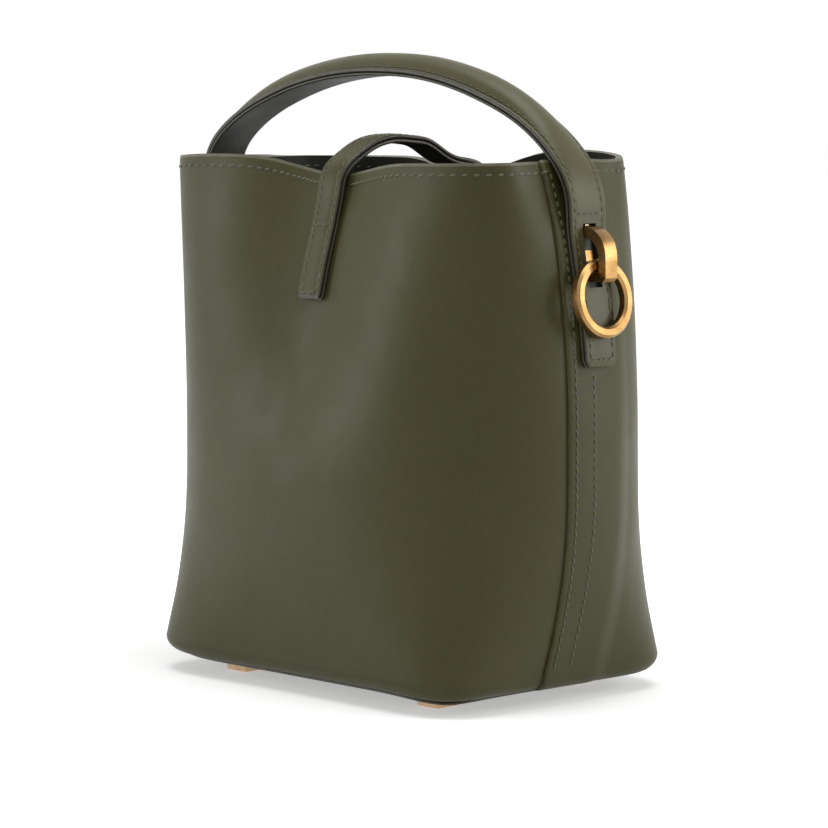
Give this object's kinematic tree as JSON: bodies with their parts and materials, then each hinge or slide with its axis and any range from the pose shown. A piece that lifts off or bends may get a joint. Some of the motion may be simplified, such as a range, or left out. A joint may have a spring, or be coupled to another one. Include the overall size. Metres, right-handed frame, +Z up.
{
  "type": "bucket bag",
  "caption": "Upright soft leather bucket bag with a padded top handle, a closure strap over the open mouth, brass side links with rings, and square base feet.",
  "frame": {"origin": "on the floor, at the centre of the four feet", "axes": "+Z up; -Y is the front, where the closure strap fastens; +Y is the back, where it is sewn on; +X is the bag's right side seen from the front"},
  "size_m": [0.2814, 0.163, 0.314],
  "materials": {
    "leather": "smooth semi-gloss olive green",
    "leather_inner": "smooth, dark olive green",
    "lining": "soft olive suede-like lining",
    "brass": "brushed pale antique brass",
    "board": "plain stiffener board",
    "foam": "felt padding"
  },
  "bodies": {
    "bag": {"base_panel": "leather", "base_filler": "board", "base_board": "board", "base_foam": "foam", "foot_washers": "brass", "foot_front_left": "brass", "foot_front_right": "brass", "foot_back_left": "brass", "foot_back_right": "brass", "front_panel": "leather", "back_panel": "leather", "lining_front": "lining", "lining_back": "lining", "lining_floor": "lining", "facing_front": "leather_inner", "facing_back": "leather_inner", "handle_tab_left": "leather", "handle_tab_right": "leather", "tab_backing_left": "leather", "tab_backing_right": "leather", "link_left": "brass", "link_right": "brass", "link_screws_left": "brass", "link_screws_right": "brass", "closure_anchor": "leather", "snap_socket": "brass", "snap_washer": "brass"},
    "closure": {"closure_outer": "leather", "closure_inner": "leather_inner"},
    "closure_tip": {"closure_tip_outer": "leather", "closure_tip_inner": "leather_inner", "snap_plug": "brass"},
    "handle": {"handle_cover": "leather", "handle_core": "foam", "handle_underside": "leather_inner"},
    "ring_left": {"ring_left": "brass"},
    "ring_right": {"ring_right": "brass"}
  },
  "joints": [
    {"name": "closure_lift", "type": "hinge", "parent": "bag", "child": "closure", "pos_m": [0, 0.05535, 0.23177], "axis": [-1, 0, 0], "range_deg": [0, 26]},
    {"name": "closure_tip", "type": "hinge", "parent": "closure", "child": "closure_tip", "pos_m": [0, -0.04978, 0.25129], "axis": [-1, 0, 0], "range_deg": [0, 100]},
    {"name": "handle_tilt", "type": "hinge", "parent": "bag", "child": "handle", "pos_m": [0, 0, 0.259], "axis": [-1, 0, 0], "range_deg": [-25, 25]},
    {"name": "ring_left_swing", "type": "hinge", "parent": "bag", "child": "ring_left", "pos_m": [-0.12881, 0, 0.2106], "axis": [0, 1, 0], "range_deg": [0, 95]},
    {"name": "ring_right_swing", "type": "hinge", "parent": "bag", "child": "ring_right", "pos_m": [0.13601, 0, 0.2106], "axis": [0, -1, 0], "range_deg": [0, 95]}
  ]
}
